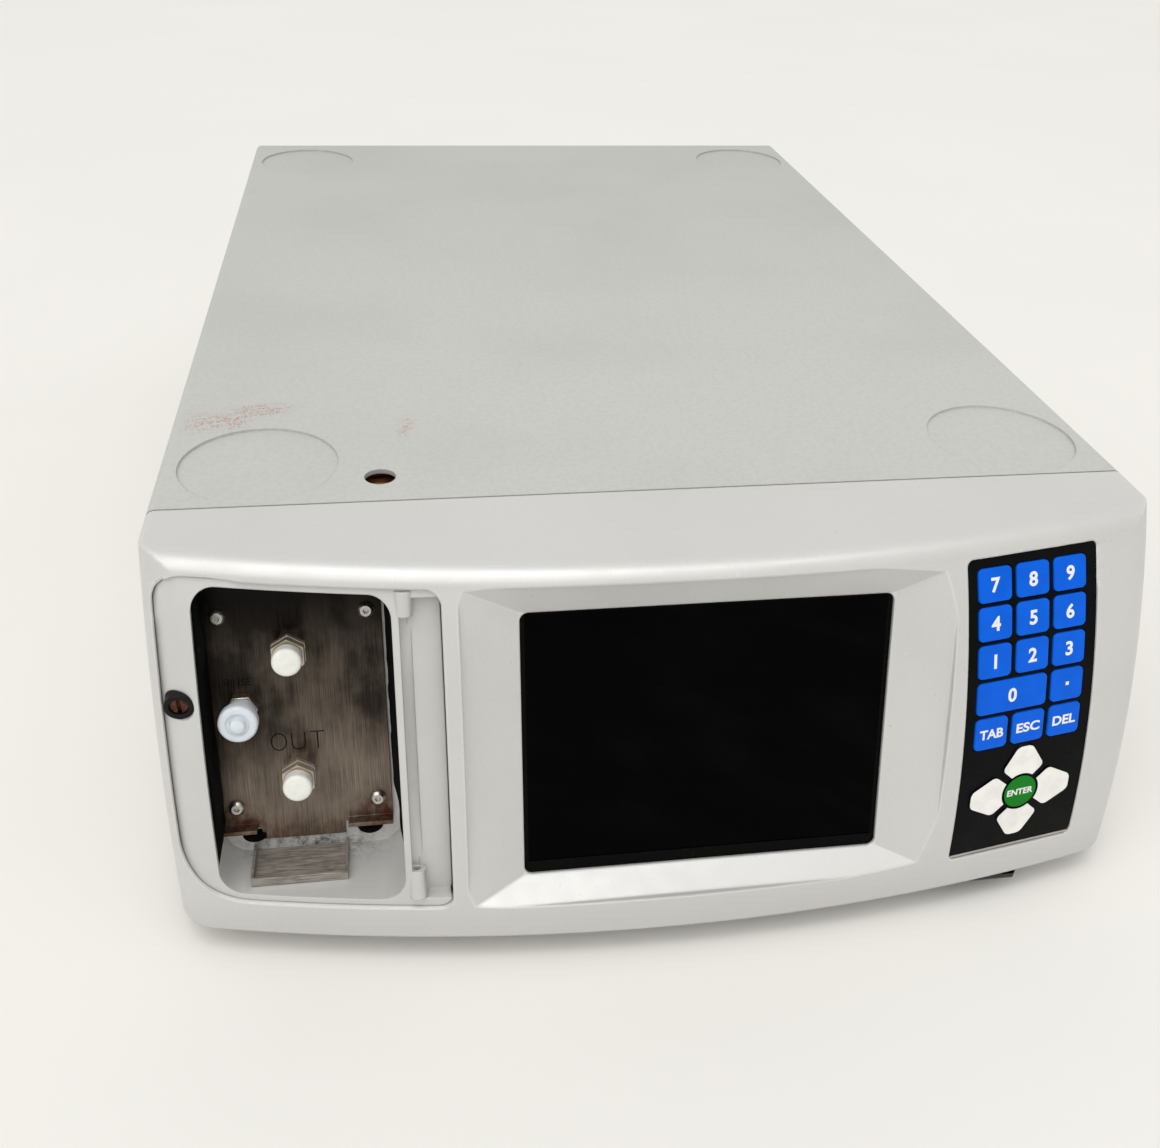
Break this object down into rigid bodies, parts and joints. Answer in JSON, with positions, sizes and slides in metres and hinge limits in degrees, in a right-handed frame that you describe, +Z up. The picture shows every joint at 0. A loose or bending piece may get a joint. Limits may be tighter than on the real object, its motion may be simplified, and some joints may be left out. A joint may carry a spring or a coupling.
{
  "type": "syringe pump",
  "caption": "Bench-top syringe pump: a flat painted cabinet on rubber feet, with a bowed moulded front that carries a recessed port bay, a display and a keypad.",
  "frame": {"origin": "on the standing surface, under the middle of the overall width and depth", "axes": "+Z up, -Y is the direction the front faces, +X to the right as seen from the front"},
  "size_m": [0.292, 0.4636, 0.119],
  "materials": {
    "cover_paint": "fine-textured silver-grey paint",
    "case_metal": "plain grey paint",
    "zinc_sheet": "yellowish zinc plate",
    "bezel_paint": "silver paint on moulded plastic",
    "liner_plastic": "silver-grey moulded plastic",
    "rubber_feet": "black rubber",
    "screw_steel": "plated steel",
    "display_glass": "dark glossy panel",
    "display_body": "pressed metal back",
    "overlay_black": "glossy black",
    "switch_mat": "dark rubber",
    "key_blue": "blue keys with a slight gloss",
    "key_green": "green key with a slight gloss",
    "key_white": "off-white pads",
    "plate_steel": "vertically brushed, stained low down",
    "fitting_body": "turned metal",
    "cap_white": "soft white plastic",
    "cap_clear": "cloudy pale plastic",
    "catch_black": "black",
    "catch_screw": "reddish-brown slotted screw",
    "switch_black": "black",
    "socket_black": "black",
    "fan_black": "black",
    "signal_metal": "plated shells",
    "supply_metal": "folded sheet",
    "board_green": "green circuit board",
    "frame_alloy": "milled",
    "rod_steel": "ground",
    "plunger_ceramic": "polished ceramic",
    "barrel_glass": "clear thick-walled glass",
    "motor_black": "black",
    "belt_rubber": "black toothed belt"
  },
  "bodies": {
    "case": {"cover": "cover_paint", "base_tray": "zinc_sheet", "front_plate": "zinc_sheet", "rear_panel": "case_metal", "bezel": "bezel_paint", "port_bay": "liner_plastic", "feet": "rubber_feet", "housing_screws": "screw_steel", "display_glass": "display_glass", "lcd_module": "display_body", "keypad_overlay": "overlay_black", "key_mat": "switch_mat", "port_plate": "plate_steel", "plate_screws": "screw_steel", "drip_tray": "plate_steel", "port_fittings": "fitting_body", "catch_bush": "catch_black", "catch_screw": "catch_screw", "rocker_housing": "switch_black", "inlet_socket": "socket_black", "fan_frame": "fan_black", "signal_sockets": "signal_metal", "power_supply": "supply_metal", "control_board": "board_green", "drive_frame": "frame_alloy", "guide_rods": "rod_steel", "screw_bearings": "rod_steel", "barrel": "barrel_glass", "valve_head": "frame_alloy", "motor": "motor_black", "drive_belt": "belt_rubber"},
    "key_7": {"key_7": "key_blue"},
    "key_8": {"key_8": "key_blue"},
    "key_9": {"key_9": "key_blue"},
    "key_4": {"key_4": "key_blue"},
    "key_5": {"key_5": "key_blue"},
    "key_6": {"key_6": "key_blue"},
    "key_1": {"key_1": "key_blue"},
    "key_2": {"key_2": "key_blue"},
    "key_3": {"key_3": "key_blue"},
    "key_0": {"key_0": "key_blue"},
    "key_point": {"key_point": "key_blue"},
    "key_tab": {"key_tab": "key_blue"},
    "key_esc": {"key_esc": "key_blue"},
    "key_del": {"key_del": "key_blue"},
    "key_enter": {"key_enter": "key_green"},
    "key_up": {"key_up": "key_white"},
    "key_right": {"key_right": "key_white"},
    "key_down": {"key_down": "key_white"},
    "key_left": {"key_left": "key_white"},
    "power_rocker": {"power_rocker": "switch_black"},
    "in_cap": {"in_cap": "cap_white"},
    "out_cap": {"out_cap": "cap_white"},
    "rinse_cap": {"rinse_cap": "cap_clear"},
    "fuse_drawer": {"fuse_drawer": "socket_black"},
    "fan_rotor": {"fan_rotor": "fan_black"},
    "carriage": {"carriage": "frame_alloy", "plunger": "plunger_ceramic"},
    "lead_screw": {"lead_screw": "rod_steel"},
    "motor_pulley": {"motor_pulley": "rod_steel"}
  },
  "joints": [
    {"name": "key_7_press", "type": "slide", "parent": "case", "child": "key_7", "axis": [-0.1483, 0.9033, -0.4026], "range_m": [0, 0.0004], "stiffness_N_per_m": 1500},
    {"name": "key_8_press", "type": "slide", "parent": "case", "child": "key_8", "axis": [-0.1483, 0.9033, -0.4026], "range_m": [0, 0.0004], "stiffness_N_per_m": 1500},
    {"name": "key_9_press", "type": "slide", "parent": "case", "child": "key_9", "axis": [-0.1483, 0.9033, -0.4026], "range_m": [0, 0.0004], "stiffness_N_per_m": 1500},
    {"name": "key_4_press", "type": "slide", "parent": "case", "child": "key_4", "axis": [-0.1508, 0.9187, -0.3649], "range_m": [0, 0.0004], "stiffness_N_per_m": 1500},
    {"name": "key_5_press", "type": "slide", "parent": "case", "child": "key_5", "axis": [-0.1508, 0.9187, -0.3649], "range_m": [0, 0.0004], "stiffness_N_per_m": 1500},
    {"name": "key_6_press", "type": "slide", "parent": "case", "child": "key_6", "axis": [-0.1508, 0.9187, -0.3649], "range_m": [0, 0.0004], "stiffness_N_per_m": 1500},
    {"name": "key_1_press", "type": "slide", "parent": "case", "child": "key_1", "axis": [-0.1531, 0.9327, -0.3267], "range_m": [0, 0.0004], "stiffness_N_per_m": 1500},
    {"name": "key_2_press", "type": "slide", "parent": "case", "child": "key_2", "axis": [-0.1531, 0.9327, -0.3267], "range_m": [0, 0.0004], "stiffness_N_per_m": 1500},
    {"name": "key_3_press", "type": "slide", "parent": "case", "child": "key_3", "axis": [-0.1531, 0.9327, -0.3267], "range_m": [0, 0.0004], "stiffness_N_per_m": 1500},
    {"name": "key_0_press", "type": "slide", "parent": "case", "child": "key_0", "axis": [-0.1551, 0.945, -0.2879], "range_m": [0, 0.0004], "stiffness_N_per_m": 1500},
    {"name": "key_point_press", "type": "slide", "parent": "case", "child": "key_point", "axis": [-0.1551, 0.945, -0.2879], "range_m": [0, 0.0004], "stiffness_N_per_m": 1500},
    {"name": "key_tab_press", "type": "slide", "parent": "case", "child": "key_tab", "axis": [-0.1569, 0.9558, -0.2486], "range_m": [0, 0.0004], "stiffness_N_per_m": 1500},
    {"name": "key_esc_press", "type": "slide", "parent": "case", "child": "key_esc", "axis": [-0.1569, 0.9558, -0.2486], "range_m": [0, 0.0004], "stiffness_N_per_m": 1500},
    {"name": "key_del_press", "type": "slide", "parent": "case", "child": "key_del", "axis": [-0.1569, 0.9558, -0.2486], "range_m": [0, 0.0004], "stiffness_N_per_m": 1500},
    {"name": "key_enter_press", "type": "slide", "parent": "case", "child": "key_enter", "axis": [-0.1596, 0.9723, -0.1706], "range_m": [0, 0.0004], "stiffness_N_per_m": 1500},
    {"name": "key_up_press", "type": "slide", "parent": "case", "child": "key_up", "axis": [-0.1596, 0.9723, -0.1706], "range_m": [0, 0.0004], "stiffness_N_per_m": 1500},
    {"name": "key_right_press", "type": "slide", "parent": "case", "child": "key_right", "axis": [-0.1596, 0.9723, -0.1706], "range_m": [0, 0.0004], "stiffness_N_per_m": 1500},
    {"name": "key_down_press", "type": "slide", "parent": "case", "child": "key_down", "axis": [-0.1596, 0.9723, -0.1706], "range_m": [0, 0.0004], "stiffness_N_per_m": 1500},
    {"name": "key_left_press", "type": "slide", "parent": "case", "child": "key_left", "axis": [-0.1596, 0.9723, -0.1706], "range_m": [0, 0.0004], "stiffness_N_per_m": 1500},
    {"name": "rocker_tilt", "type": "hinge", "parent": "case", "child": "power_rocker", "pos_m": [0.098, -0.21471, 0.0113], "axis": [0, 1, 0], "range_deg": [-18, 0]},
    {"name": "in_cap_pull", "type": "slide", "parent": "case", "child": "in_cap", "axis": [0, -0.9659, 0.2588], "range_m": [0, 0.01]},
    {"name": "out_cap_pull", "type": "slide", "parent": "case", "child": "out_cap", "axis": [0, -0.9659, 0.2588], "range_m": [0, 0.01]},
    {"name": "rinse_cap_pull", "type": "slide", "parent": "case", "child": "rinse_cap", "axis": [0, -0.9659, 0.2588], "range_m": [0, 0.01]},
    {"name": "fuse_drawer_slide", "type": "slide", "parent": "case", "child": "fuse_drawer", "axis": [0, 1, 0], "range_m": [0, 0.01]},
    {"name": "fan_spin", "type": "hinge", "parent": "case", "child": "fan_rotor", "pos_m": [-0.09, 0.21455, 0.062], "axis": [0, 1, 0], "continuous": true},
    {"name": "carriage_slide", "type": "slide", "parent": "case", "child": "carriage", "axis": [0, 1, 0], "range_m": [0, 0.07]},
    {"name": "lead_screw_turn", "type": "hinge", "parent": "case", "child": "lead_screw", "pos_m": [-0.0745, -0.01315, 0.0635], "axis": [0, 1, 0], "range_deg": [-2, 2524]},
    {"name": "motor_pulley_turn", "type": "hinge", "parent": "case", "child": "motor_pulley", "pos_m": [-0.0185, -0.01315, 0.0635], "axis": [0, 1, 0], "range_deg": [-2, 2524]}
  ],
  "couplings": [
    {"joint": "lead_screw_turn", "follows": "carriage_slide", "rad_per_m": 628.32},
    {"joint": "motor_pulley_turn", "follows": "carriage_slide", "rad_per_m": 628.32}
  ]
}
